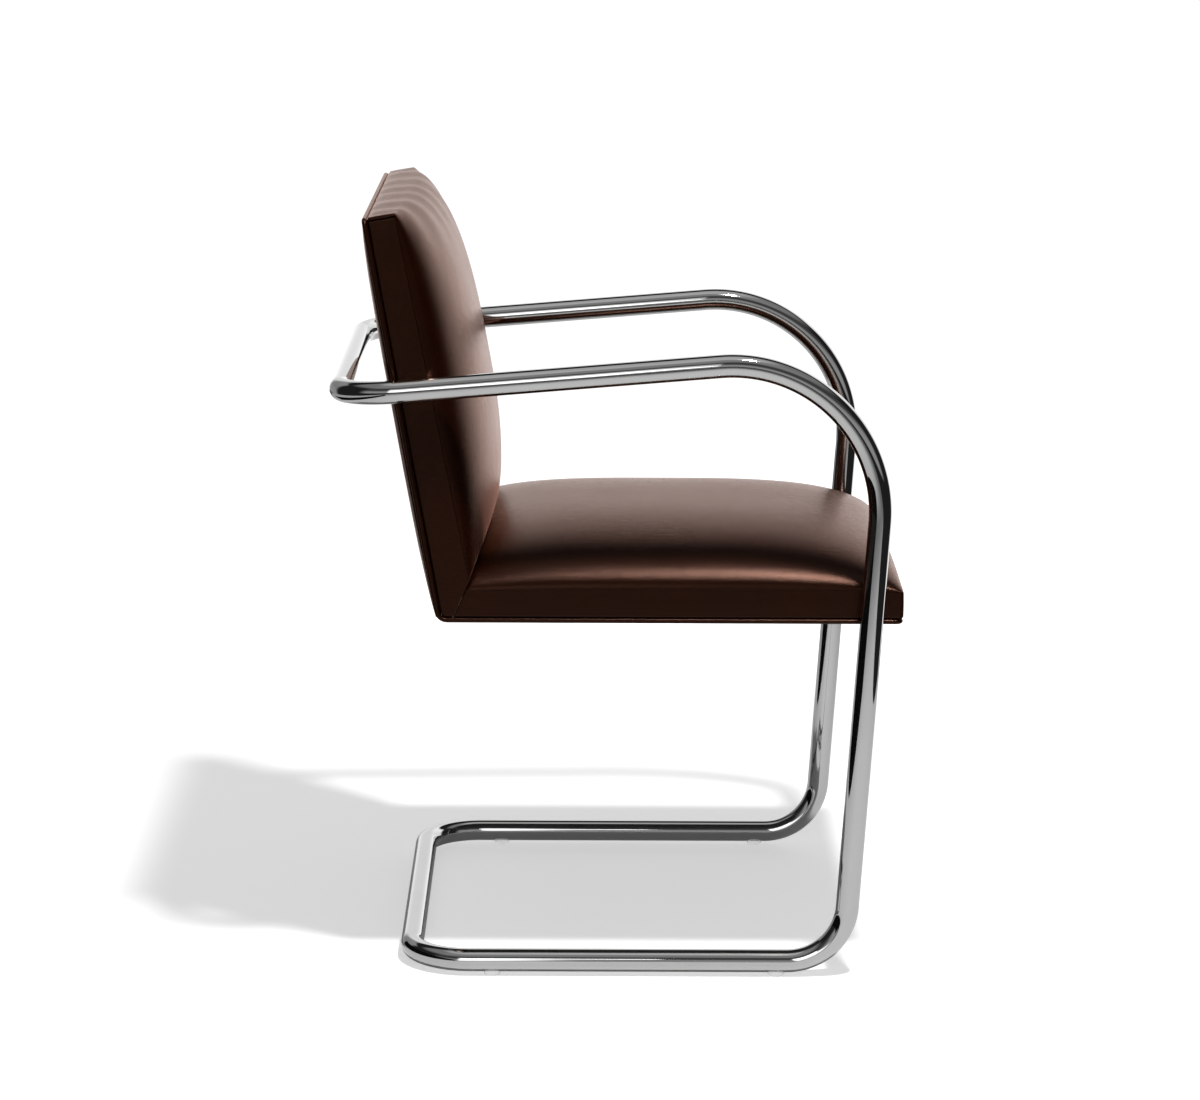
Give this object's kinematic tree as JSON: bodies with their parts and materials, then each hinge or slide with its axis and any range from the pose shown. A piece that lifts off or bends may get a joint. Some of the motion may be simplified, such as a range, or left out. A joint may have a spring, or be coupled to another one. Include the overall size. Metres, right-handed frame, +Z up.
{
  "type": "cantilever lounge chair",
  "caption": "Cantilever armchair: a closed loop of bent round tube carries an upholstered seat and back, with arms, legs and floor runners in one line.",
  "frame": {"origin": "on the floor, under the middle of the chair", "axes": "the chair faces -Y, +Z is up and +X is towards the sitter's left"},
  "size_m": [0.5552, 0.6156, 0.8234],
  "materials": {
    "chrome": "polished",
    "leather": "satin",
    "welt_leather": "satin",
    "steel": "satin",
    "glide": "polished",
    "timber": "matte",
    "webbing": "matte",
    "foam": "matte",
    "dust_cloth": "matte"
  },
  "bodies": {
    "root": {"side_tube_left": "chrome", "side_tube_right": "chrome", "rear_arm_bar": "chrome", "rear_floor_bar": "chrome", "joint_sleeves": "steel", "tube_inserts": "steel", "floor_glides": "glide", "spacers": "steel", "fixing_bolts": "steel", "backing_plates": "steel", "seat_side_rails": "timber", "seat_cross_rails": "timber", "back_stiles": "timber", "back_cross_rails": "timber", "frame_dowels": "timber", "corner_plates": "steel", "plate_screws": "steel", "seat_webbing": "webbing", "back_webbing": "webbing", "seat_foam": "foam", "back_foam": "foam", "seat_cover": "leather", "back_cover": "leather", "seat_side_panels": "leather", "back_side_panels": "leather", "welt_left": "welt_leather", "welt_right": "welt_leather", "outer_back_panel": "leather", "seat_bottom_cover": "dust_cloth"}
  },
  "joints": []
}
